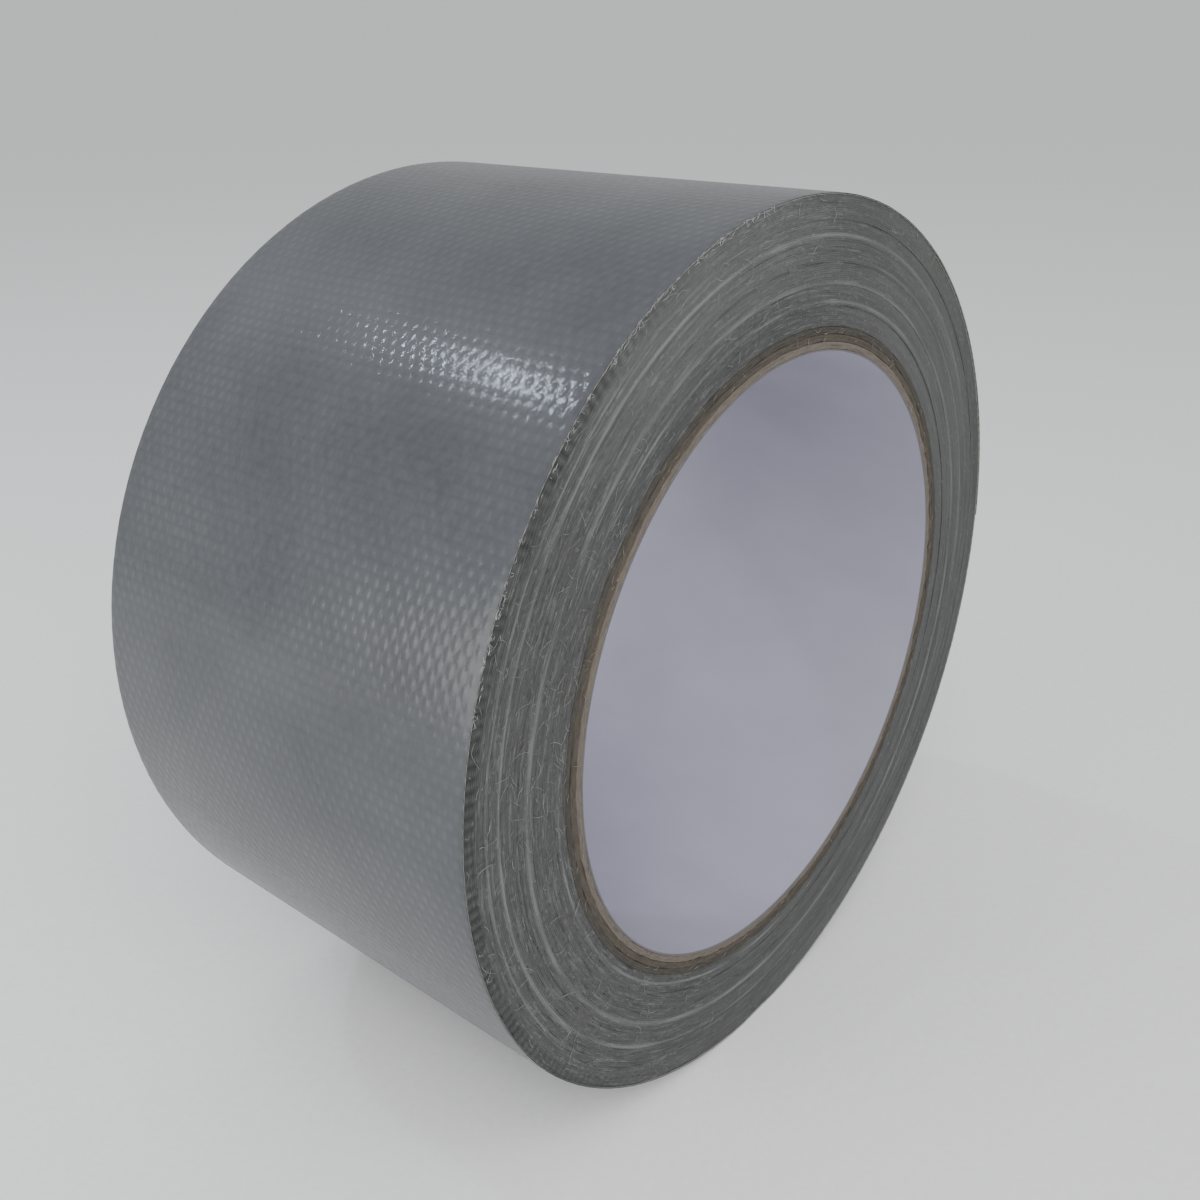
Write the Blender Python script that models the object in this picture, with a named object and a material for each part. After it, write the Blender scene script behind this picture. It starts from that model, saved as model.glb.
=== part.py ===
"""Duct tape roll: a paper core, the wound tape, its last turn and a free end that peels off.

The roll stands on its rim. Its axis is the Y axis, and the origin is the middle of the core.
Angles are measured round the Y axis, in degrees, from +X towards +Z. The tape's own angle
counts back from its cut end along the strip, so one full turn back is one turn further in.
"""

import math

import bmesh
import bpy

MM = 0.001

# The core is a 3 inch tube wound from paper plies.
BORE_RADIUS = 38.5 * MM
LINER_THICKNESS = 0.2 * MM
PLY_THICKNESS = 0.8 * MM
CORE_WIDTH = 59.2 * MM

# The tape is one laminated strip, wound on the core.
ROLL_RADIUS = 56.0 * MM
TAPE_WIDTH = 59.2 * MM
FILM_THICKNESS = 0.09 * MM
CLOTH_THICKNESS = 0.11 * MM
FILM_TO_CLOTH = 0.03 * MM
LAYER_GAP = 0.05 * MM
TAPE_THICKNESS = FILM_THICKNESS + FILM_TO_CLOTH + CLOTH_THICKNESS
TURN_PITCH = TAPE_THICKNESS + LAYER_GAP

# The roll has settled a little flat where it stands.
FLAT_DEPTH = 0.14 * MM
DOWN_DEG = 270.0

# The wound turns lie in bands that wander a little from side to side.
BAND_COUNT = 6
BANDS_OUTER_RADIUS = 55.35 * MM
BAND_WANDER = 0.15 * MM
WANDER_PATTERN = (1.0, 0.0, -1.0, 0.0)

# The free end is a chain of short lengths, each hinged to the one before it.
CUT_END_DEG = 3.75
TAIL_LENGTHS = 6
TAIL_STEP_DEG = 8.75
TAIL_DEG = TAIL_LENGTHS * TAIL_STEP_DEG
SPLIT_DEG = 0.3

# Facets around each piece.
RING_STEPS = 72
STRIP_STEP_DEG = 2.5
TAIL_FACETS = 3

FULL_TURN_DEG = 360.0
SHARP_EDGE = math.radians(40)


def clear_scene():
    """Start from an empty scene."""
    for old in list(bpy.data.objects):
        bpy.data.objects.remove(old, do_unlink=True)


def make_material(name, colour, roughness, metallic=0.0):
    """Make a Principled material of one colour."""
    material = bpy.data.materials.new(name)
    material.use_nodes = True
    shader = material.node_tree.nodes["Principled BSDF"]
    shader.inputs["Base Color"].default_value = (*colour, 1.0)
    shader.inputs["Roughness"].default_value = roughness
    shader.inputs["Metallic"].default_value = metallic
    material.diffuse_color = (*colour, 1.0)
    return material


def liner_paper():
    """Smooth lavender-grey paper that faces the bore."""
    return make_material("liner_paper", (0.28, 0.27, 0.33), 0.7)


def kraft_paper(ply):
    """Dark brown board; the outer plies are a little lighter."""
    shade = 0.075 + 0.012 * ply
    return make_material(f"kraft_paper_{ply}", (shade * 1.15, shade, shade * 0.85), 0.9)


def wound_tape(band):
    """Edges of many turns of tape, a dull green-grey."""
    shade = 0.105 + 0.01 * (band % 2)
    return make_material(f"wound_tape_{band}", (shade, shade * 1.06, shade * 1.03), 0.65)


def silver_film():
    """Silver-grey polyethylene film, the tape's outside."""
    return make_material("silver_film", (0.16, 0.17, 0.18), 0.38, 0.25)


def gummed_cloth():
    """Cotton gauze in pale rubber adhesive, the tape's sticky side."""
    return make_material("gummed_cloth", (0.42, 0.42, 0.40), 0.75)


def polar(radius, angle_deg, y):
    """Return the point at a radius and an angle round the Y axis."""
    angle = math.radians(angle_deg)
    return (radius * math.cos(angle), y, radius * math.sin(angle))


def strip_radius(strip_deg):
    """Return the radius of the film's outside at an angle back from the cut end."""
    return ROLL_RADIUS - TURN_PITCH * strip_deg / FULL_TURN_DEG


def settled_radius(strip_deg):
    """Return the same radius, less where the roll has settled flat under its own weight."""
    radius = strip_radius(strip_deg)
    away = math.radians(CUT_END_DEG + strip_deg - DOWN_DEG)
    if math.cos(away) <= 0:
        return radius
    flat = strip_radius(DOWN_DEG - CUT_END_DEG) - FLAT_DEPTH
    return min(radius, flat / math.cos(away))


def swept_mesh(name, sections, closed):
    """Join four-cornered sections into one solid, as a full ring or with capped ends."""
    bm = bmesh.new()
    rows = [[bm.verts.new(corner) for corner in section] for section in sections]
    pairs = list(zip(rows, rows[1:]))
    if closed:
        pairs.append((rows[-1], rows[0]))
    for here, following in pairs:
        for side in range(4):
            other = (side + 1) % 4
            bm.faces.new((here[side], here[other], following[other], following[side]))
    if not closed:
        bm.faces.new(reversed(rows[0]))
        bm.faces.new(rows[-1])
    bmesh.ops.recalc_face_normals(bm, faces=bm.faces)
    mesh = bpy.data.meshes.new(name)
    bm.to_mesh(mesh)
    bm.free()
    mesh.shade_smooth()
    mesh.set_sharp_from_angle(angle=SHARP_EDGE)
    return mesh


def add_object(name, mesh, material, parent=None):
    """Put a mesh in the scene as a named piece."""
    mesh.materials.append(material)
    piece = bpy.data.objects.new(name, mesh)
    bpy.context.scene.collection.objects.link(piece)
    piece.parent = parent
    return piece


def add_ring(name, inner, outer, width, shift, material):
    """Add a full ring round the Y axis."""
    low = shift - width / 2
    high = shift + width / 2
    sections = []
    for step in range(RING_STEPS):
        angle = step * FULL_TURN_DEG / RING_STEPS
        sections.append(
            (
                polar(inner, angle, low),
                polar(outer, angle, low),
                polar(outer, angle, high),
                polar(inner, angle, high),
            )
        )
    return add_object(name, swept_mesh(name, sections, closed=True), material)


def strip_sections(first_deg, last_deg, steps, depth, thickness, pivot):
    """Return sections of one layer of the strip, measured from a pivot point.

    The depth is how far the layer's outer side lies under the outside of the film.
    """
    half = TAPE_WIDTH / 2
    sections = []
    for step in range(steps + 1):
        strip_deg = first_deg + (last_deg - first_deg) * step / steps
        angle = CUT_END_DEG + strip_deg
        outer = settled_radius(strip_deg) - depth
        inner = outer - thickness
        corners = (
            polar(inner, angle, -half),
            polar(outer, angle, -half),
            polar(outer, angle, half),
            polar(inner, angle, half),
        )
        sections.append([tuple(c - p for c, p in zip(corner, pivot)) for corner in corners])
    return sections


def add_strip_layers(pattern, first_deg, last_deg, steps, materials, pivot, parent):
    """Add the film and the gummed cloth of one stretch of the strip."""
    film, cloth = materials
    layers = (
        ("film", 0.0, FILM_THICKNESS, film),
        ("cloth", FILM_THICKNESS + FILM_TO_CLOTH, CLOTH_THICKNESS, cloth),
    )
    for layer, depth, thickness, material in layers:
        name = pattern.format(layer)
        sections = strip_sections(first_deg, last_deg, steps, depth, thickness, pivot)
        add_object(name, swept_mesh(name, sections, closed=False), material, parent)


def add_core():
    """Add the liner and the three kraft plies, from the bore outwards. Return the radius."""
    inner = BORE_RADIUS
    plies = [("core_liner_ply", LINER_THICKNESS, liner_paper())]
    for number, place in enumerate(("inner", "middle", "outer")):
        plies.append((f"core_{place}_ply", PLY_THICKNESS, kraft_paper(number)))
    for name, thickness, material in plies:
        add_ring(name, inner, inner + thickness, CORE_WIDTH, 0.0, material)
        inner += thickness + LAYER_GAP
    return inner


def add_bands(inner):
    """Add the wound turns between the core and the last turn."""
    pitch = (BANDS_OUTER_RADIUS + LAYER_GAP - inner) / BAND_COUNT
    for number in range(BAND_COUNT):
        shift = BAND_WANDER * WANDER_PATTERN[number % len(WANDER_PATTERN)]
        low = inner + number * pitch
        high = low + pitch - LAYER_GAP
        name = f"tape_band_{number + 1}"
        add_ring(name, low, high, TAPE_WIDTH, shift, wound_tape(number + 1))


def add_last_turn(materials):
    """Add the last full turn, from the peel line round to where it runs under itself."""
    first = TAIL_DEG + SPLIT_DEG / 2
    last = TAIL_DEG + FULL_TURN_DEG
    steps = round((last - TAIL_DEG) / STRIP_STEP_DEG)
    add_strip_layers("last_turn_{}", first, last, steps, materials, (0.0, 0.0, 0.0), None)


def add_tail(materials):
    """Add the free end, from the peel line to the cut end, as a chain of hinged lengths."""
    parent = None
    parent_pivot = (0.0, 0.0, 0.0)
    for number in range(TAIL_LENGTHS):
        hinge_deg = TAIL_DEG - number * TAIL_STEP_DEG
        hinge_radius = strip_radius(hinge_deg) - TAPE_THICKNESS / 2
        pivot = polar(hinge_radius, CUT_END_DEG + hinge_deg, 0.0)
        hinge = bpy.data.objects.new(f"tail_hinge_{number + 1}", None)
        bpy.context.scene.collection.objects.link(hinge)
        hinge.parent = parent
        hinge.location = [here - there for here, there in zip(pivot, parent_pivot)]
        hinge.empty_display_size = 5 * MM
        first = hinge_deg - TAIL_STEP_DEG + SPLIT_DEG / 2
        last = hinge_deg - SPLIT_DEG / 2
        if number == TAIL_LENGTHS - 1:
            first = 0.0
        names = f"tail_{{}}_{number + 1}"
        add_strip_layers(names, first, last, TAIL_FACETS, materials, pivot, hinge)
        parent = hinge
        parent_pivot = pivot


def main():
    """Build the roll from the bore outwards."""
    clear_scene()
    add_bands(add_core())
    materials = (silver_film(), gummed_cloth())
    add_last_turn(materials)
    add_tail(materials)


main()
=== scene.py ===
"""A roll of silver duct tape standing on its edge, with its free end laid on the roll.

The Y axis is the roll's own axis. Angles are in degrees round it, from +X towards +Z. The tape's own
angle, called strip here, counts back from the cut end. Lengths named _MM are in millimetres.
"""

import math

import bpy
import numpy as np
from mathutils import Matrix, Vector


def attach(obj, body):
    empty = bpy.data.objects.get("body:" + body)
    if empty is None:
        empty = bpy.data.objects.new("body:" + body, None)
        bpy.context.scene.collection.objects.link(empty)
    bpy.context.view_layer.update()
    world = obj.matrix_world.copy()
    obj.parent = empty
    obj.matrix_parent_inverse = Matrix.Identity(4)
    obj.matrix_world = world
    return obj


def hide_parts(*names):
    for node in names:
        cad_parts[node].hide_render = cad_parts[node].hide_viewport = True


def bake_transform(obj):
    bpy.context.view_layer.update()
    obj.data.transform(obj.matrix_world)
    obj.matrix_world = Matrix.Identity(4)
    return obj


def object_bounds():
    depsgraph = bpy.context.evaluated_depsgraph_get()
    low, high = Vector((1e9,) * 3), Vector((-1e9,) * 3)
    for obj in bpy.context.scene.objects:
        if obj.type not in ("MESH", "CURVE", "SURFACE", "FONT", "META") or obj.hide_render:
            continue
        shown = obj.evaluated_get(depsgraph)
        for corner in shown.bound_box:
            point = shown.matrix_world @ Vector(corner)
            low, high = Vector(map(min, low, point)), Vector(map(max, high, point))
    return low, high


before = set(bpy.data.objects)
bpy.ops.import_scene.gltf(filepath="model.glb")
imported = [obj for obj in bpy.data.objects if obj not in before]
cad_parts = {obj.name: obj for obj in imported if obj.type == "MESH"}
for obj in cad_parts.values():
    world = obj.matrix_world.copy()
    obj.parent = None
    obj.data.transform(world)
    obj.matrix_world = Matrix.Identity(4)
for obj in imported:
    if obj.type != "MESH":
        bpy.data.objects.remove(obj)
CAD_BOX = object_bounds()

MM = 0.001
FULL_TURN = 2 * math.pi

# The core and the wound tape, in the CAD's sizes. The bands' shifts are smaller than the CAD's.
BORE_RADIUS_MM = 38.5
LINER_THICKNESS_MM = 0.2
PLY_THICKNESS_MM = 0.8
PLY_GAP_MM = 0.05
HALF_WIDTH_MM = 29.6
BAND_COUNT = 6
BANDS_OUTER_RADIUS_MM = 55.35
BAND_SHIFTS_MM = (0.05, 0.0, -0.05, 0.0, 0.05, 0.0)
BAND_GAP_MM = 0.05
BAND_SKIN_GAP_MM = 0.01

# The last turn and the free end.
ROLL_RADIUS_MM = 56.0
TURN_PITCH_MM = 0.28
FILM_THICKNESS_MM = 0.09
TAPE_THICKNESS_MM = 0.23
CUT_END_DEG = 3.75
TAIL_DEG = 52.5
TAIL_LENGTHS = 6
TAIL_STEP_DEG = TAIL_DEG / TAIL_LENGTHS
LAST_TURN_END_DEG = 412.5

# The roll has settled a little flat where it stands.
FLAT_DEPTH_MM = 0.14
DOWN_DEG = 270.0

# The woven cloth that shows through the film: weft yarns lie across the tape, warp yarns along it.
WEFTS_PER_TURN = 264
KNUCKLE_SPACING_MM = 1.48
FILM_RELIEF_MM = 0.014
SHOULDER_WIDTH_MM = 0.45
SHOULDER_DROP_MM = 0.07
GRID_ACROSS = 80
ROWS_PER_WEFT = 2

# The end faces of the wound tape.
TURNS_PER_BAND = 10
WOUND_PITCH_MM = 0.235
RING_STEPS = 720
OUTER_RING_STEPS = WEFTS_PER_TURN * 4
CORE_STEPS = 540
LEAST_RAGGED = 0.35
HOLLOWS_FROM_RADIUS_MM = 53.9

# The edges that stay sharp in the smooth-shaded meshes.
SHARP_DEG = 50

# The floor in metres, the world's light, and the camera, which looks at the roll's middle.
FLOOR_RADIUS = 4.5
FLOOR_RISE_FROM = 1.5
FLOOR_RISE = 0.05
WORLD_STRENGTH = 0.76
CAMERA_AZIMUTH_DEG = -50.395
CAMERA_ELEVATION_DEG = 24.236
CAMERA_DISTANCE = 0.17257
CAMERA_LENS_MM = 37.323
CAMERA_SENSOR_MM = 36.0


# ---------------------------------------------------------------- meshes


def band_radii(band):
    """Inner and outer radius of a wound band, counted from 1 at the core."""
    core_outside = BORE_RADIUS_MM + LINER_THICKNESS_MM + 3 * (PLY_THICKNESS_MM + PLY_GAP_MM)
    first = core_outside + BAND_GAP_MM
    pitch = (BANDS_OUTER_RADIUS_MM + BAND_GAP_MM - first) / BAND_COUNT
    return first + (band - 1) * pitch, first + band * pitch - BAND_SKIN_GAP_MM


def strip_radius(strip):
    """Radius of the tape's outside at a strip angle."""
    return ROLL_RADIUS_MM - TURN_PITCH_MM * strip / 360.0


def settled_radius(strip):
    """The same radius, less where the roll has settled flat under its own weight."""
    radius = strip_radius(strip)
    down = np.cos(np.radians(CUT_END_DEG + strip - DOWN_DEG))
    flat = strip_radius(DOWN_DEG - CUT_END_DEG) - FLAT_DEPTH_MM
    return np.where(down > 0, np.minimum(radius, flat / np.maximum(down, 0.01)), radius)


def round_the_axis(radius, angle, across):
    """Points in metres from radius, angle in radians and place across the tape, in millimetres."""
    return np.stack((radius * np.cos(angle), across, radius * np.sin(angle)), axis=-1) * MM


def sweep_faces(rows, columns, closed):
    """Quads that join the rows of a sweep of closed profiles."""
    steps = rows if closed else rows - 1
    row, column = np.meshgrid(np.arange(steps), np.arange(columns), indexing="ij")
    next_row = (row + 1) % rows
    next_column = (column + 1) % columns
    quads = np.stack(
        (
            row * columns + column,
            row * columns + next_column,
            next_row * columns + next_column,
            next_row * columns + column,
        ),
        axis=-1,
    )
    return quads.reshape(-1, 4)


def make_mesh(name, points, loops, loop_starts, material, facts):
    """A smooth-shaded mesh object. facts holds its named values, one for each point."""
    mesh = bpy.data.meshes.new(name)
    mesh.vertices.add(len(points))
    mesh.vertices.foreach_set("co", points.astype(np.float32).ravel())
    mesh.loops.add(len(loops))
    mesh.loops.foreach_set("vertex_index", loops.astype(np.int32))
    mesh.polygons.add(len(loop_starts))
    mesh.polygons.foreach_set("loop_start", loop_starts.astype(np.int32))
    mesh.update(calc_edges=True)
    mesh.validate()
    mesh.polygons.foreach_set("use_smooth", np.ones(len(mesh.polygons), dtype=bool))
    mesh.set_sharp_from_angle(angle=math.radians(SHARP_DEG))
    for fact, values in facts.items():
        layer = mesh.attributes.new(fact, "FLOAT", "POINT")
        layer.data.foreach_set("value", values.astype(np.float32).ravel())
    mesh.materials.append(material)
    piece = bpy.data.objects.new(name, mesh)
    bpy.context.scene.collection.objects.link(piece)
    return piece


def sweep(name, points, material, facts, closed):
    """A solid from rows of closed profiles: a ring, or a strip with flat ends."""
    rows, columns = points.shape[:2]
    quads = sweep_faces(rows, columns, closed)
    loops = quads.ravel()
    starts = np.arange(0, len(loops), 4)
    if not closed:
        first_end = np.arange(columns)[::-1]
        last_end = np.arange(columns) + (rows - 1) * columns
        starts = np.concatenate((starts, [len(loops), len(loops) + columns]))
        loops = np.concatenate((loops, first_end, last_end))
    return make_mesh(name, points.reshape(-1, 3), loops, starts, material, facts)


def ring_noise(random, steps, rows, length, row_length=0.0):
    """Smooth noise round a ring, about -2 to 2, with features about length steps long."""
    wave = np.fft.fftfreq(steps)[:, None]
    row_wave = np.fft.fftfreq(rows)[None, :]
    keep = np.exp(-((wave * length) ** 2) * 4 - ((row_wave * row_length) ** 2) * 4)
    noise = np.fft.ifft2(np.fft.fft2(random.standard_normal((steps, rows))) * keep).real
    return noise / noise.std()


def window(angle, start_deg, end_deg, edge_deg):
    """1 between two angles round the roll and 0 outside them, with soft edges."""
    middle = math.radians((start_deg + end_deg) / 2)
    half = (end_deg - start_deg) / 2
    away = np.degrees(np.abs((angle - middle + math.pi) % FULL_TURN - math.pi))
    return np.clip((half + edge_deg - away) / edge_deg, 0.0, 1.0)


# ---------------------------------------------------------------- materials


class Shade:
    """A Principled material, with short ways to add the nodes that give it its detail."""

    def __init__(self, name, **settings):
        self.material = bpy.data.materials.new(name)
        self.material.use_nodes = True
        self.tree = self.material.node_tree
        self.shader = self.tree.nodes["Principled BSDF"]
        for socket, value in settings.items():
            self.shader.inputs[socket.replace("_", " ")].default_value = value

    def put(self, socket, value):
        if isinstance(value, bpy.types.NodeSocket):
            self.tree.links.new(value, socket)
        else:
            socket.default_value = value

    def math(self, operation, first, second=0.0):
        node = self.tree.nodes.new("ShaderNodeMath")
        node.operation = operation
        self.put(node.inputs[0], first)
        self.put(node.inputs[1], second)
        return node.outputs[0]

    def limits(self, value, low, high, to_low=0.0, to_high=1.0):
        node = self.tree.nodes.new("ShaderNodeMapRange")
        self.put(node.inputs["Value"], value)
        node.inputs["From Min"].default_value = low
        node.inputs["From Max"].default_value = high
        node.inputs["To Min"].default_value = to_low
        node.inputs["To Max"].default_value = to_high
        return node.outputs[0]

    def mix(self, share, first, second):
        node = self.tree.nodes.new("ShaderNodeMix")
        node.data_type = "RGBA"
        self.put(node.inputs[0], share)
        self.put(node.inputs[6], first)
        self.put(node.inputs[7], second)
        return node.outputs[2]

    def fact(self, name):
        node = self.tree.nodes.new("ShaderNodeAttribute")
        node.attribute_name = name
        return node.outputs["Fac"]

    def place(self):
        return self.tree.nodes.new("ShaderNodeTexCoord").outputs["Object"]

    def split(self, vector):
        node = self.tree.nodes.new("ShaderNodeSeparateXYZ")
        self.put(node.inputs[0], vector)
        return node.outputs

    def join(self, x, y, z=0.0):
        node = self.tree.nodes.new("ShaderNodeCombineXYZ")
        for socket, value in zip(node.inputs, (x, y, z)):
            self.put(socket, value)
        return node.outputs[0]

    def noise(self, vector, scale, detail=3.0, roughness=0.5):
        node = self.tree.nodes.new("ShaderNodeTexNoise")
        self.put(node.inputs["Vector"], vector)
        node.inputs["Scale"].default_value = scale
        node.inputs["Detail"].default_value = detail
        node.inputs["Roughness"].default_value = roughness
        return node.outputs["Fac"]

    def polar(self):
        """(millimetres round at the roll's edge, radius in millimetres, across, angle) of a point."""
        x, y, z = self.split(self.place())
        angle = self.math("ARCTAN2", z, x)
        squares = self.math("ADD", self.math("MULTIPLY", x, x), self.math("MULTIPLY", z, z))
        radius = self.math("DIVIDE", self.math("SQRT", squares), MM)
        return self.math("MULTIPLY", angle, ROLL_RADIUS_MM), radius, self.math("DIVIDE", y, MM), angle

    def bump(self, height, distance_mm, under=None):
        node = self.tree.nodes.new("ShaderNodeBump")
        node.inputs["Strength"].default_value = 1.0
        node.inputs["Distance"].default_value = distance_mm * MM
        self.put(node.inputs["Height"], height)
        if under is not None:
            self.put(node.inputs["Normal"], under)
        self.put(self.shader.inputs["Normal"], node.outputs[0])
        return node.outputs[0]

    def colour(self, value):
        self.put(self.shader.inputs["Base Color"], value)

    def set(self, socket, value):
        self.put(self.shader.inputs[socket], value)


def grey(red, green, blue):
    """A colour given as it looks on a screen, 0 to 255."""
    def linear(level):
        level /= 255
        return level / 12.92 if level <= 0.04045 else ((level + 0.055) / 1.055) ** 2.4
    return (linear(red), linear(green), linear(blue), 1.0)


def weave_nodes(shade):
    """The knuckles, weft ridges and warp ridges of the cloth under the film, from the strip's facts."""
    weft = shade.fact("weft")
    knuckle = shade.fact("knuckle")
    over = shade.math(
        "MULTIPLY",
        shade.math("COSINE", shade.math("MULTIPLY", weft, math.pi)),
        shade.math("COSINE", shade.math("MULTIPLY", knuckle, FULL_TURN)),
    )
    ridges = shade.math("COSINE", shade.math("MULTIPLY", knuckle, 2 * FULL_TURN))
    rows = shade.math("COSINE", shade.math("MULTIPLY", weft, FULL_TURN))
    return over, ridges, rows


def silver_film():
    shade = Shade(
        "silver_film", Metallic=0.0, Roughness=0.38, Specular_IOR_Level=0.2,
        Coat_Weight=0.28, Coat_Roughness=0.09,
    )
    flat = shade.join(shade.fact("along_mm"), shade.fact("across_mm"))
    over, ridges, rows = weave_nodes(shade)
    cloud = shade.noise(flat, 0.07, 4.0, 0.55)
    mottle = shade.noise(flat, 0.9, 4.0, 0.6)
    grain = shade.noise(flat, 6.0, 3.0, 0.6)
    base = shade.mix(shade.limits(cloud, 0.3, 0.7), grey(60, 62, 66), grey(71, 73, 76))
    base = shade.mix(shade.limits(mottle, 0.35, 0.75, 0.0, 0.4), base, grey(84, 86, 89))
    # Painted highlight: the knuckle tops are painted lighter, in cloudy patches.
    patchy = shade.limits(cloud, 0.35, 0.65, 0.0, 0.22)
    knuckle_highlight = shade.math("MULTIPLY", shade.limits(over, 0.2, 1.0), patchy)
    base = shade.mix(knuckle_highlight, base, grey(98, 100, 105))
    # Painted shade: the troughs between the weft ridges are painted darker.
    base = shade.mix(shade.limits(rows, -1.0, -0.3, 0.1, 0.0), base, grey(48, 50, 54))
    teeth = shade.limits(rows, -0.3, 0.5, 0.55, 0.95)
    base = shade.mix(shade.math("MULTIPLY", shade.fact("edge"), teeth), base, grey(44, 46, 47))
    shade.colour(base)
    shade.set("Roughness", shade.limits(mottle, 0.3, 0.7, 0.36, 0.48))
    fine = shade.bump(grain, 0.006)
    weave = shade.math("ADD", over, shade.math("MULTIPLY", ridges, 0.18))
    weave = shade.math("ADD", weave, shade.math("MULTIPLY", rows, 0.4))
    pressed = shade.limits(shade.noise(flat, 0.28, 3.0), 0.38, 0.62, 0.85, 1.4)
    weave = shade.math("MULTIPLY", weave, pressed)
    crinkle = shade.noise(flat, 2.6, 3.0, 0.55)
    uneven = shade.math("ADD", shade.math("MULTIPLY", mottle, 1.2), shade.math("MULTIPLY", crinkle, 1.3))
    shade.set("Coat Normal", shade.bump(shade.math("ADD", weave, uneven), 0.011, fine))
    return shade.material


def gummed_cloth():
    shade = Shade("gummed_cloth", Roughness=0.32, Specular_IOR_Level=0.55)
    flat = shade.join(shade.fact("along_mm"), shade.fact("across_mm"))
    _, ridges, rows = weave_nodes(shade)
    mottle = shade.noise(flat, 0.5, 5.0, 0.6)
    threads = shade.noise(flat, 5.0, 3.0, 0.6)
    base = shade.mix(shade.limits(mottle, 0.3, 0.7), grey(139, 139, 133), grey(158, 157, 149))
    base = shade.mix(shade.limits(ridges, 0.3, 1.0, 0.0, 0.4), base, grey(186, 184, 174))
    base = shade.mix(shade.limits(rows, 0.4, 1.0, 0.0, 0.4), base, grey(186, 184, 174))
    base = shade.mix(shade.limits(threads, 0.5, 0.8, 0.0, 0.3), base, grey(112, 112, 108))
    base = shade.mix(shade.math("MULTIPLY", shade.fact("edge"), 0.9), base, grey(50, 52, 52))
    shade.colour(base)
    shade.set("Roughness", shade.limits(threads, 0.3, 0.7, 0.24, 0.5))
    fine = shade.bump(threads, 0.01)
    shade.bump(shade.math("ADD", ridges, rows), 0.02, fine)
    return shade.material


def wound_edge():
    """The slit edge of the wound tape: a light film line and a dark cloth line for every turn."""
    shade = Shade("wound_edge", Roughness=0.62, Specular_IOR_Level=0.4)
    around, radius, across, angle = shade.polar()
    turn = shade.math("DIVIDE", radius, WOUND_PITCH_MM)
    turn = shade.math("SUBTRACT", turn, shade.math("DIVIDE", angle, FULL_TURN))
    line = shade.math("SINE", shade.math("MULTIPLY", turn, FULL_TURN))
    rough = shade.fact("rough")
    streaks = shade.noise(shade.join(shade.math("MULTIPLY", around, 0.06), radius), 2.4, 4.0, 0.6)
    dust = shade.noise(shade.join(shade.math("MULTIPLY", around, 0.5), radius, across), 2.6, 4.0, 0.65)
    yarns = shade.noise(
        shade.join(shade.math("MULTIPLY", around, 0.75), shade.math("MULTIPLY", radius, 1.5)),
        1.5, 3.0, 0.6,
    )
    wide = shade.noise(
        shade.join(shade.math("MULTIPLY", around, 0.02), shade.math("MULTIPLY", radius, 0.5)), 1.0
    )
    base = shade.mix(shade.limits(wide, 0.35, 0.65), grey(64, 64, 64), grey(77, 77, 77))
    # Painted shade: the ragged side is painted darker, for the shade in its deeper grooves.
    base = shade.mix(shade.math("MULTIPLY", rough, 0.8), base, grey(57, 58, 57))
    base = shade.mix(shade.limits(line, -0.4, 1.0, 0.0, 0.22), base, grey(110, 110, 110))
    strength = shade.limits(rough, 0.0, 1.0, 0.3, 1.0)
    light = shade.math("MULTIPLY", shade.limits(streaks, 0.52, 0.7, 0.0, 0.5), strength)
    dark = shade.math("MULTIPLY", shade.limits(streaks, 0.3, 0.46, 0.4, 0.0), strength)
    base = shade.mix(light, base, grey(114, 115, 114))
    base = shade.mix(dark, base, grey(56, 57, 56))
    spots = shade.math(
        "MULTIPLY", shade.limits(yarns, 0.34, 0.46, 1.0, 0.0), shade.limits(rough, 0.0, 1.0, 0.2, 0.7)
    )
    base = shade.mix(spots, base, grey(46, 47, 45))
    base = shade.mix(shade.limits(dust, 0.58, 0.76, 0.0, 0.5), base, grey(134, 135, 132))
    # Painted highlight and painted light: proud turns and the top of the face are painted pale; frayed
    # yarn is pale of its own.
    base = shade.mix(shade.math("MULTIPLY", shade.fact("lit_and_pale"), 0.7), base, grey(136, 138, 137))
    # Painted shade: the hollows between the yarn ends are painted near black.
    base = shade.mix(shade.fact("shaded_hollow"), base, grey(30, 32, 33))
    shade.colour(base)
    fine = shade.bump(dust, 0.05)
    shade.bump(shade.math("ADD", line, shade.math("MULTIPLY", streaks, 2.0)), 0.018, fine)
    return shade.material


def kraft_paper(name, dark, light):
    """Grey-brown board, with its rough fibres drawn out round the core."""
    shade = Shade(name, Roughness=0.88, Specular_IOR_Level=0.25)
    around, radius, across, _ = shade.polar()
    fibres = shade.noise(
        shade.join(shade.math("MULTIPLY", around, 0.35), shade.math("MULTIPLY", radius, 3.0), across),
        1.6, 5.0, 0.65,
    )
    specks = shade.noise(shade.join(around, radius, across), 4.0, 4.0, 0.7)
    base = shade.mix(shade.limits(fibres, 0.3, 0.7), dark, light)
    base = shade.mix(shade.limits(specks, 0.58, 0.75, 0.0, 0.55), base, grey(128, 119, 104))
    base = shade.mix(shade.limits(specks, 0.25, 0.4, 0.5, 0.0), base, grey(44, 40, 36))
    shade.colour(base)
    shade.bump(shade.math("ADD", fibres, specks), 0.09)
    return shade.material


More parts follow.
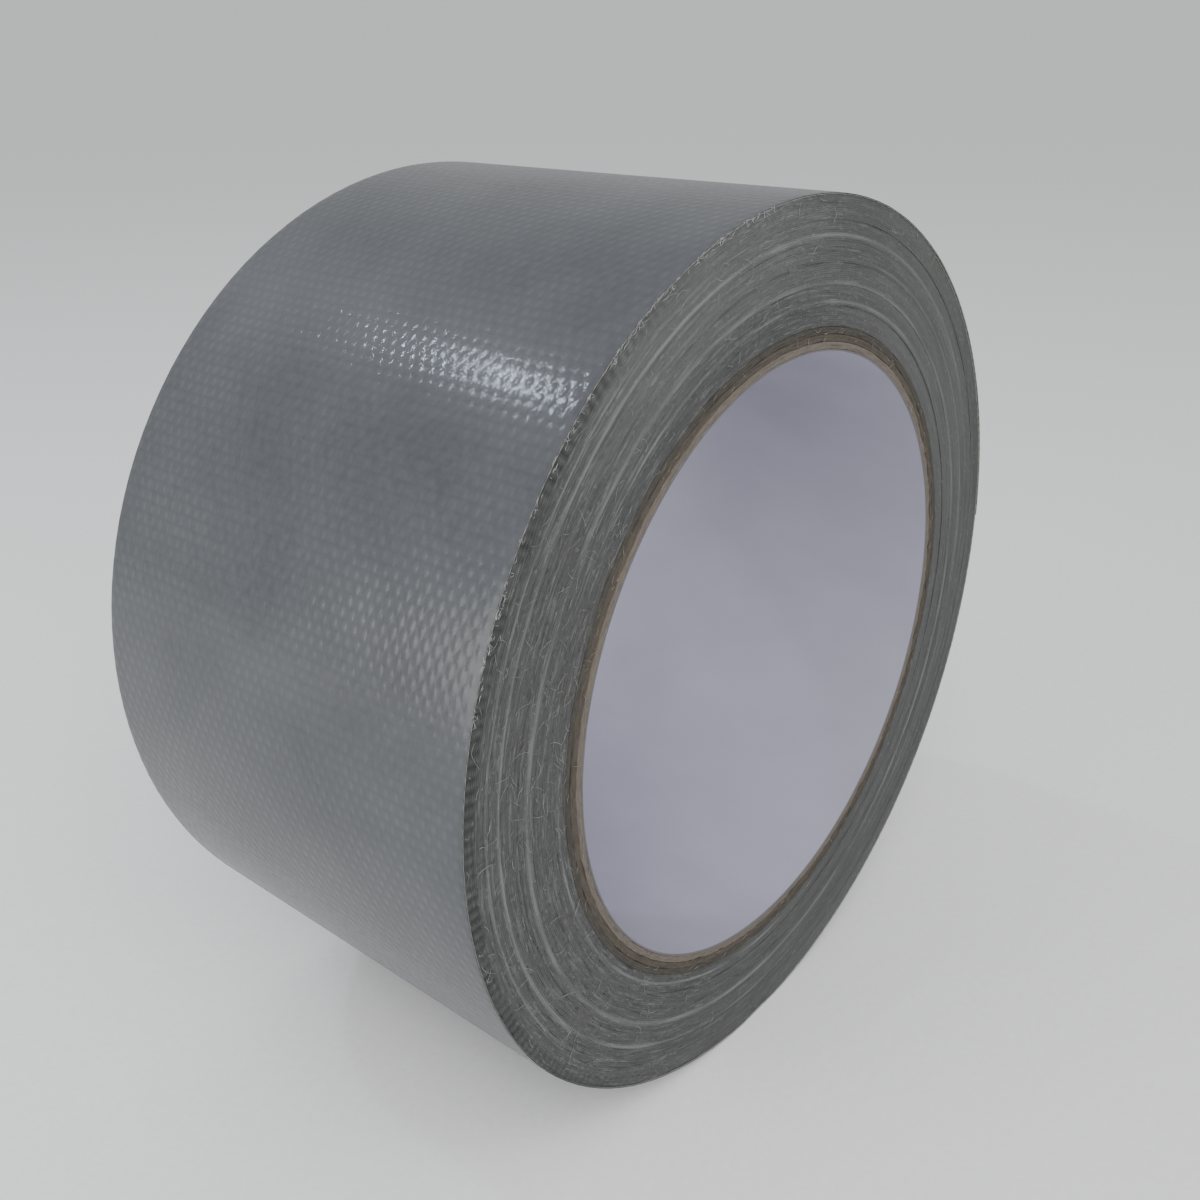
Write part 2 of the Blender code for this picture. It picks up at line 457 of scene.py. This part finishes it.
def liner_paper():
    """The smooth pale paper that lines the bore."""
    shade = Shade("liner_paper", Roughness=0.72, Specular_IOR_Level=0.3)
    around, _, across, _ = shade.polar()
    flat = shade.join(around, across)
    cloud = shade.noise(flat, 0.06, 3.0)
    fibres = shade.noise(shade.join(around, shade.math("MULTIPLY", across, 2.5)), 1.8, 5.0, 0.65)
    base = shade.mix(shade.limits(cloud, 0.3, 0.7), grey(157, 155, 170), grey(163, 161, 176))
    base = shade.mix(shade.limits(fibres, 0.52, 0.75, 0.0, 0.22), base, grey(174, 172, 185))
    base = shade.mix(shade.limits(fibres, 0.28, 0.42, 0.18, 0.0), base, grey(149, 147, 162))
    cut_end = shade.limits(
        shade.math("ABSOLUTE", across), HALF_WIDTH_MM - 0.2, HALF_WIDTH_MM - 0.04, 0.0, 0.85
    )
    base = shade.mix(cut_end, base, grey(88, 83, 78))
    shade.colour(base)
    shade.bump(fibres, 0.012)
    return shade.material


def cotton(name, dark, light):
    """Loose yarn fibres."""
    shade = Shade(name, Roughness=0.8, Specular_IOR_Level=0.3, Sheen_Weight=0.3)
    twist = shade.noise(shade.place(), 2600.0, 3.0)
    shade.colour(shade.mix(shade.limits(twist, 0.35, 0.65), dark, light))
    shade.bump(twist, 0.01)
    return shade.material


def floor_paper():
    shade = Shade("floor_paper", Roughness=0.9, Specular_IOR_Level=0.1)
    tooth = shade.noise(shade.place(), 900.0, 4.0)
    shade.colour(shade.mix(shade.limits(tooth, 0.3, 0.7), (0.84, 0.84, 0.84, 1), (0.88, 0.88, 0.88, 1)))
    shade.bump(tooth, 0.02)
    return shade.material


# ---------------------------------------------------------------- the core


def core_ring(name, inner, outer, roughness_mm, material, node, steps=CORE_STEPS, across_rows=12):
    """One paper layer of the core, with its rough cut ends."""
    random = np.random.default_rng(len(name) * 7 + int(inner * 10))
    angle = np.linspace(0.0, FULL_TURN, steps, endpoint=False)
    radial = np.linspace(inner, outer, 6)
    torn = ring_noise(random, steps, len(radial), 5.0, 1.0)
    torn += 0.6 * ring_noise(random, steps, len(radial), 2.0)
    front_edge = -HALF_WIDTH_MM + roughness_mm * np.clip(np.abs(torn), 0.0, 2.5)
    torn_back = ring_noise(random, steps, len(radial), 5.0, 1.0)
    back_edge = HALF_WIDTH_MM - roughness_mm * np.clip(np.abs(torn_back), 0.0, 2.5)
    inside_rows = np.linspace(HALF_WIDTH_MM, -HALF_WIDTH_MM, across_rows + 2)[1:-1]
    waver = 0.02 * ring_noise(random, steps, across_rows, 40.0, 4.0)
    radius = np.hstack((
        np.tile(radial, (steps, 1)),
        np.tile(radial[::-1], (steps, 1)),
        inner + np.abs(waver),
    ))
    across = np.hstack((front_edge, back_edge[:, ::-1], np.tile(inside_rows, (steps, 1))))
    points = round_the_axis(radius, angle[:, None], across)
    piece = sweep(name, points, material, {}, closed=True)
    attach(piece, "roll")
    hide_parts(node)
    return piece


def add_core():
    liner = core_ring(
        "bore_liner", BORE_RADIUS_MM, BORE_RADIUS_MM + LINER_THICKNESS_MM, 0.012, liner_paper(),
        "core_liner_ply",
    )
    tones = (
        (grey(92, 86, 79), grey(116, 109, 100)),
        (grey(66, 61, 56), grey(90, 83, 74)),
        (grey(58, 56, 53), grey(80, 76, 70)),
    )
    first = BORE_RADIUS_MM + LINER_THICKNESS_MM + PLY_GAP_MM
    for index, (ply, tone) in enumerate(zip(("inner", "middle", "outer"), tones)):
        inner = first + index * (PLY_THICKNESS_MM + PLY_GAP_MM)
        piece = core_ring(
            f"core_board_{ply}", inner, inner + PLY_THICKNESS_MM, 0.07,
            kraft_paper(f"kraft_paper_{ply}", *tone), f"core_{ply}_ply", across_rows=2,
        )


# ---------------------------------------------------------------- the wound tape


def raised_rings(angle, radius):
    """0 to 1 where some turns stand a little proud of their neighbours; these are painted pale, as a
    painted highlight.
    """
    # Radius, lift of the ring's centre, its shift to the right, its width, and strength.
    rings = (
        (50.9, 0.5, 0.0, 0.20, 0.55 + 0.45 * window(angle, 90, 250, 40)),
        (46.8, -0.6, -0.25, 0.28, 0.65 + 0.35 * window(angle, 200, 330, 40)),
        (44.1, 0.0, 0.0, 0.16, window(angle, 55, 125, 25)),
        (42.4, 0.0, 0.1, 0.14, window(angle, 195, 275, 25)),
        (52.8, 0.3, 0.2, 0.14, 0.7 * window(angle, 130, 200, 30)),
        (49.0, -0.2, 0.2, 0.13, 0.6 * window(angle, 300, 420, 30)),
    )
    height = np.zeros(np.broadcast(angle, radius).shape)
    for middle, lift, side, width, strength in rings:
        ring = middle + lift * np.sin(angle) + side * np.cos(angle)
        height = np.maximum(height, strength * np.exp(-(((radius - ring) / width) ** 2)))
    return height


def weft_ends(angle, radius, random, steps):
    """0 to 1 in the small hollows between the weft yarns' cut ends, near the roll's edge; they are
    painted near black as painted shade.
    """
    teeth = 0.2 + 0.8 * np.clip(0.5 + 1.1 * np.cos(WEFTS_PER_TURN * angle), 0.0, 1.0)
    outer = np.clip((radius - HOLLOWS_FROM_RADIUS_MM) / 0.5, 0.0, 1.0)
    where = 0.12 + 0.88 * window(angle, 138, 215, 28)
    uneven = np.clip(0.85 + 0.2 * ring_noise(random, steps, 1, 9.0), 0.2, 1.1)
    return teeth * outer * where * uneven


def end_face(radii, angle, steps, random, raggedness):
    """For a wound end face: how far each point stands back in mm, how pale it is painted (painted
    highlight on proud turns, painted light at the top, pale fray), and how much painted shade its
    hollows get.
    """
    rows = radii.shape[1]
    groove = 0.035 * (np.arange(rows) % 2 == 1)
    # Painted light: the top of the face, towards its outer edge, is painted paler.
    painted_top_light = 0.24 * window(angle, 97, 124, 20) * np.clip((radii - 43.0) / 6.0, 0.0, 1.0)
    broken = np.clip(0.75 + 0.3 * ring_noise(random, steps, 1, 14.0), 0.1, 1.1)
    lit_and_pale = raised_rings(angle, radii) * broken
    shaded_hollow = weft_ends(angle, radii, random, steps)
    slow = ring_noise(random, steps, rows, steps / 6, 3.0)
    ragged = ring_noise(random, steps, rows, 4.0, 0.8) * raggedness
    back = 0.07 + 0.02 * slow + 0.022 * ragged + groove - 0.09 * lit_and_pale + 0.1 * shaded_hollow
    frayed = np.clip(ring_noise(random, steps, rows, 3.0, 0.5) - 1.7, 0.0, 1.0) * raggedness
    # Pale mask: painted highlight on proud turns, pale frayed yarn, and painted light at the top of the
    # face.
    pale = np.clip(0.65 * lit_and_pale + 0.5 * frayed + painted_top_light, 0.0, 1.0)
    return np.maximum(back, 0.0), pale, np.clip(0.85 * shaded_hollow, 0.0, 1.0)


def under_last_turn(angle):
    """Radius just under the last turn, at an angle in radians."""
    strip = (np.degrees(angle) - CUT_END_DEG) % 360.0
    strip = np.where(strip < TAIL_DEG, strip + 360.0, strip)
    return settled_radius(strip) - TAPE_THICKNESS_MM - BAND_SKIN_GAP_MM


def add_band(band, material):
    """A group of wound turns, with the edge of every turn on its two end faces."""
    inner, outer = band_radii(band)
    steps = OUTER_RING_STEPS if band == BAND_COUNT else RING_STEPS
    random = np.random.default_rng(100 + band)
    angle = np.linspace(0.0, FULL_TURN, steps, endpoint=False)[:, None]
    outside = under_last_turn(angle) if band == BAND_COUNT else np.full_like(angle, outer)
    radii = inner + (outside - inner) * np.linspace(0.0, 1.0, 2 * TURNS_PER_BAND + 1)
    shift = BAND_SHIFTS_MM[band - 1]
    ragged = LEAST_RAGGED + (1 - LEAST_RAGGED) * window(angle, 95, 245, 35)
    front, front_lit_and_pale, front_shaded_hollow = end_face(radii, angle, steps, random, ragged)
    back, back_lit_and_pale, back_shaded_hollow = end_face(radii, angle, steps, random, 0.5)
    radius = np.hstack((radii, radii[:, ::-1]))
    across = np.hstack((shift - HALF_WIDTH_MM + front, (shift + HALF_WIDTH_MM - back)[:, ::-1]))
    facts = {
        "lit_and_pale": np.hstack((front_lit_and_pale, back_lit_and_pale[:, ::-1])),
        "shaded_hollow": np.hstack((front_shaded_hollow, back_shaded_hollow[:, ::-1])),
        "rough": np.tile((ragged - LEAST_RAGGED) / (1 - LEAST_RAGGED), (1, radius.shape[1])),
    }
    points = round_the_axis(radius, angle, across)
    piece = sweep(f"wound_turns_{band}", points, material, facts, closed=True)
    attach(piece, "roll")
    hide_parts(f"tape_band_{band}")


# ---------------------------------------------------------------- the last turn and the free end


def knuckle_height(strip, across):
    """Height of the cloth's pattern under the film, about -0.25 to 1."""
    weft = strip * WEFTS_PER_TURN / 360.0
    over = np.cos(math.pi * weft) * np.cos(FULL_TURN * across / KNUCKLE_SPACING_MM)
    row = 0.5 + 0.5 * np.cos(FULL_TURN * weft)
    return 0.7 * np.where(over > 0, over, 0.25 * over) + 0.3 * row


def unevenness(strip, across):
    """Slow waves in the outer turns, about -1 to 1."""
    along = strip * math.radians(1) * ROLL_RADIUS_MM
    waves = ((9.0, 0.4, 0.3), (14.0, 1.9, -0.7), (23.0, 4.1, 0.5), (31.0, 2.6, -0.2), (6.5, 5.2, 1.1))
    total = 0.0
    for length, start, slant in waves:
        total = total + np.sin(FULL_TURN * along / length + start + slant * across / 6.0)
    return total / len(waves)


def across_places():
    """Places across the tape: an even grid that meets every knuckle, closer together by the edges."""
    even = np.linspace(-HALF_WIDTH_MM, HALF_WIDTH_MM, GRID_ACROSS + 1)
    near = np.array((0.03, 0.09, 0.18))
    return np.sort(np.concatenate((even, near - HALF_WIDTH_MM, HALF_WIDTH_MM - near)))


def strip_piece(name, strip_from, strip_to, is_film, material):
    """A stretch of the tape's film, or of the gummed cloth under it."""
    degrees_per_row = 360.0 / WEFTS_PER_TURN / ROWS_PER_WEFT
    rows = max(2, round((strip_to - strip_from) / degrees_per_row)) + 1
    strip = np.linspace(strip_from, strip_to, rows)[:, None]
    across = across_places()[None, :]
    from_edge = HALF_WIDTH_MM - np.abs(across)
    shoulder = SHOULDER_DROP_MM * np.clip(1 - from_edge / SHOULDER_WIDTH_MM, 0.0, 1.0) ** 2
    pattern = knuckle_height(strip, across)
    settled = np.tile(settled_radius(strip), (1, across.shape[1]))
    if is_film:
        outside = settled - 0.03 * (1 - unevenness(strip, across)) / 2 - shoulder
        top = outside - FILM_RELIEF_MM * (1 - pattern)
        under = np.minimum(settled - FILM_THICKNESS_MM - 0.012, top - 0.01)
    else:
        top = settled - FILM_THICKNESS_MM - 0.02 - shoulder
        under = settled - TAPE_THICKNESS_MM + 0.015 * (1 - pattern)
    notch = 0.03 * np.cos(math.pi * strip * WEFTS_PER_TURN / 180.0) + 0.03
    place = across - notch * (np.abs(across) > HALF_WIDTH_MM - 0.01) * np.sign(across)
    radius = np.hstack((top, under[:, ::-1]))
    angle = np.radians(CUT_END_DEG + strip)
    flat = np.tile(np.hstack((across, across[:, ::-1])), (rows, 1))
    strips = np.repeat(strip, flat.shape[1], axis=1)
    facts = {
        "weft": strips * WEFTS_PER_TURN / 360.0,
        "knuckle": flat / KNUCKLE_SPACING_MM,
        "along_mm": strips * math.radians(1) * ROLL_RADIUS_MM,
        "across_mm": flat,
        "edge": (np.abs(flat) > HALF_WIDTH_MM - 0.01) * (0.4 + 0.6 * window(angle, 130, 220, 30)),
    }
    places = np.hstack((place, place[:, ::-1]))
    return sweep(name, round_the_axis(radius, angle, places), material, facts, closed=False)


def add_last_turn(film, cloth):
    layers = (("last_turn_skin", True, film, "last_turn_film", "silver_film"),
              ("last_turn_gum", False, cloth, "last_turn_cloth", "gummed_cloth"))
    for name, is_film, material, node, slot in layers:
        piece = strip_piece(name, TAIL_DEG, LAST_TURN_END_DEG, is_film, material)
        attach(piece, "roll")
        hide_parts(node)


def add_tail(film, cloth):
    """The free end. Each piece runs from the middle of one length to the middle of the next."""
    layers = (("free_end_film", True, film, "tail_film", "silver_film"),
              ("free_end_gum", False, cloth, "tail_cloth", "gummed_cloth"))
    for stem, is_film, material, node, slot in layers:
        for length in range(1, TAIL_LENGTHS + 1):
            hinge = TAIL_DEG - (length - 1) * TAIL_STEP_DEG
            start = hinge if length == 1 else hinge + TAIL_STEP_DEG / 2
            piece = strip_piece(f"{stem}_{length}", hinge - TAIL_STEP_DEG / 2, start, is_film, material)
            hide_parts(f"{node}_{length}")
            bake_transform(piece)
        piece = strip_piece(f"{stem}_cut", 0.0, TAIL_STEP_DEG / 2, is_film, material)
        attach(piece, f"tail_{TAIL_LENGTHS}")


# ---------------------------------------------------------------- loose fibres


def tube(path, thickness_mm, sides):
    """Rows of points of a thin tapered tube along a path, in millimetres."""
    along = np.gradient(path, axis=0)
    along /= np.linalg.norm(along, axis=1)[:, None]
    side = np.cross(along, (0.3, 1.0, 0.2))
    side /= np.linalg.norm(side, axis=1)[:, None]
    up = np.cross(along, side)
    taper = np.sin(np.linspace(0.25, math.pi - 0.25, len(path)))[:, None, None]
    turn = np.linspace(0.0, FULL_TURN, sides, endpoint=False)[None, :, None]
    rim = np.cos(turn) * side[:, None, :] + np.sin(turn) * up[:, None, :]
    return path[:, None, :] + rim * thickness_mm * taper


def fibres(name, count, inner, outer, material, face, length_range, thickness_range, seed, place):
    """Short curled fibres that lie on an end face."""
    random = np.random.default_rng(seed)
    points, loops, starts = [], [], []
    point_count = loop_count = 0
    bends, sides = 7, 4
    for _ in range(count):
        angle = math.radians(place(random))
        radius = random.uniform(inner, outer)
        length = random.uniform(*length_range)
        heading = random.normal(0.0, 0.5) + (0.0 if random.random() < 0.75 else math.pi / 2)
        curl = random.normal(0.0, 0.9)
        step = np.linspace(-0.5, 0.5, bends)
        tangent = step * length
        offset = curl * (step ** 2) * length * 0.6
        lift = face * (HALF_WIDTH_MM - 0.02 + 0.1 * np.abs(np.sin(step * 5 + curl)) * random.random())
        rounds = tangent * math.cos(heading) - offset * math.sin(heading)
        outs = tangent * math.sin(heading) + offset * math.cos(heading)
        radial = np.clip(radius + outs, inner, outer)
        turn = angle + rounds / radius
        path = np.stack((radial * np.cos(turn), lift, radial * np.sin(turn)), axis=-1)
        shape = tube(path, random.uniform(*thickness_range), sides)
        quads = sweep_faces(bends, sides, closed=False) + point_count
        rim = np.arange(sides)
        ends = np.concatenate((rim[::-1], rim + (bends - 1) * sides)) + point_count
        points.append(shape.reshape(-1, 3))
        loops.append(np.concatenate((quads.ravel(), ends)))
        starts.append(loop_count + np.arange(0, quads.size + 2 * sides, 4))
        point_count += bends * sides
        loop_count += quads.size + 2 * sides
    piece = make_mesh(
        name, np.concatenate(points) * MM, np.concatenate(loops), np.concatenate(starts), material, {}
    )
    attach(piece, "roll")
    return piece


def add_fibres():
    yarn = cotton("cotton_yarn", grey(98, 100, 99), grey(140, 142, 139))
    frayed = cotton("frayed_yarn", grey(142, 144, 143), grey(186, 187, 184))
    paper = cotton("paper_fuzz", grey(104, 95, 84), grey(150, 140, 124))
    core_edge = BORE_RADIUS_MM + LINER_THICKNESS_MM
    inner, _ = band_radii(1)
    _, outer = band_radii(BAND_COUNT)

    def rough_side(random):
        return random.normal(165, 38)

    def anywhere(random):
        return random.uniform(0, 360)

    def upper_left(random):
        return random.uniform(98, 165)

    fibres("cotton_fuzz_rough", 300, inner, outer, yarn, -1, (0.5, 2.6), (0.014, 0.032), 5, rough_side)
    fibres("cotton_fuzz_front", 110, inner, outer, yarn, -1, (0.4, 1.8), (0.012, 0.026), 6, anywhere)
    fibres("cotton_fuzz_back", 130, inner, outer, yarn, 1, (0.4, 2.0), (0.012, 0.028), 7, anywhere)
    fibres("edge_fuzz", 170, 55.2, 55.92, frayed, -1, (0.3, 1.1), (0.012, 0.026), 10, upper_left)
    fibres("paper_fuzz_front", 110, core_edge, inner, paper, -1, (0.4, 1.6), (0.015, 0.035), 8, anywhere)
    fibres("paper_fuzz_back", 70, core_edge, inner, paper, 1, (0.4, 1.6), (0.015, 0.035), 9, anywhere)


# ---------------------------------------------------------------- stage, lights and camera


def direction(azimuth_deg, elevation_deg):
    """Towards a place round the roll. Azimuth 0 is the -Y side, where the front face looks."""
    turn, rise = math.radians(azimuth_deg), math.radians(elevation_deg)
    return Vector((math.sin(turn) * math.cos(rise), -math.cos(turn) * math.cos(rise), math.sin(rise)))


def aim(thing, target):
    thing.rotation_euler = (target - thing.location).to_track_quat("-Z", "Y").to_euler()


def add_floor():
    """A wide pale floor just under the roll, with a soft rise far away."""
    rings = np.linspace(0.001, FLOOR_RADIUS, 60)
    steps = 96
    angle = np.linspace(0.0, FULL_TURN, steps, endpoint=False)[:, None]
    height = CAD_BOX[0][2] + FLOOR_RISE * np.maximum(rings - FLOOR_RISE_FROM, 0.0) ** 2
    points = np.stack(
        (rings * np.cos(angle), rings * np.sin(angle), np.tile(height, (steps, 1))), axis=-1
    )
    columns = len(rings)
    row, column = np.meshgrid(np.arange(steps), np.arange(columns - 1), indexing="ij")
    next_row = (row + 1) % steps
    quads = np.stack((
        row * columns + column, row * columns + column + 1,
        next_row * columns + column + 1, next_row * columns + column,
    ), axis=-1).reshape(-1, 4)
    middle = np.arange(steps) * columns
    loops = np.concatenate((quads.ravel(), middle))
    starts = np.concatenate((np.arange(0, quads.size, 4), [quads.size]))
    floor = make_mesh("floor", points.reshape(-1, 3), loops, starts, floor_paper(), {})


def add_world():
    world = bpy.data.worlds.new("studio")
    world.use_nodes = True
    background = world.node_tree.nodes["Background"]
    background.inputs["Color"].default_value = (0.97, 0.985, 1.0, 1.0)
    background.inputs["Strength"].default_value = WORLD_STRENGTH
    bpy.context.scene.world = world


def area_light(name, towards, distance, size, energy, colour, target=Vector((0, 0, 0))):
    data = bpy.data.lights.new(name, "AREA")
    data.shape = "RECTANGLE"
    data.size, data.size_y = size
    data.energy = energy
    data.color = colour
    light = bpy.data.objects.new(name, data)
    light.location = target + towards.normalized() * distance
    bpy.context.scene.collection.objects.link(light)
    aim(light, target)


def add_lights():
    # A soft light above, in front and to the left.
    area_light("softbox", Vector((-0.42, -0.5, 0.65)), 0.8, (0.55, 0.55), 3.7, (1.0, 1.0, 0.985))
    # A lamp high behind the roll, whose reflection is the bright dotted streak on the film.
    area_light("lamp", Vector((-0.169, 0.668, 0.725)), 0.7, (0.024, 0.036), 0.6, (0.72, 0.83, 1.0),
               Vector((-0.0375, -0.018, 0.0416)))
    # A low warm panel behind and to the left, in the second, softer highlight.
    area_light("panel", Vector((-0.80, 0.59, 0.10)), 0.7, (0.14, 0.18), 0.14, (1.0, 0.96, 0.9),
               Vector((-0.052, -0.027, 0.021)))
    # A wide card on the left, which lightens the film towards its front edge.
    area_light("card", Vector((-0.85, 0.33, 0.15)), 0.55, (0.26, 0.3), 1.2, (1.0, 0.99, 0.98))
    # A small near light over the camera, for the front half of the film.
    area_light("front_fill", Vector((-0.115, -0.09, 0.097)), 0.175, (0.05, 0.05), 0.07, (1.0, 1.0, 0.99),
               Vector((-0.045, -0.03, 0.033)))
    # A small soft light near the top of the front face.
    area_light("fill", Vector((-0.1, -0.6, 0.8)), 0.4, (0.15, 0.15), 0.2, (1.0, 1.0, 0.98),
               Vector((-0.01, -0.03, 0.045)))


def add_camera():
    data = bpy.data.cameras.new("camera")
    data.sensor_width = CAMERA_SENSOR_MM
    data.lens = CAMERA_LENS_MM
    data.clip_start = 0.005
    data.clip_end = 50.0
    camera = bpy.data.objects.new("camera", data)
    camera.location = direction(CAMERA_AZIMUTH_DEG, CAMERA_ELEVATION_DEG) * CAMERA_DISTANCE
    aim(camera, Vector((0, 0, 0)))
    bpy.context.scene.collection.objects.link(camera)
    bpy.context.scene.camera = camera


def main():
    add_camera()
    add_floor()
    add_world()
    add_lights()
    add_core()
    edge = wound_edge()
    for band in range(1, BAND_COUNT + 1):
        add_band(band, edge)
    film, cloth = silver_film(), gummed_cloth()
    add_last_turn(film, cloth)
    add_tail(film, cloth)
    add_fibres()


main()
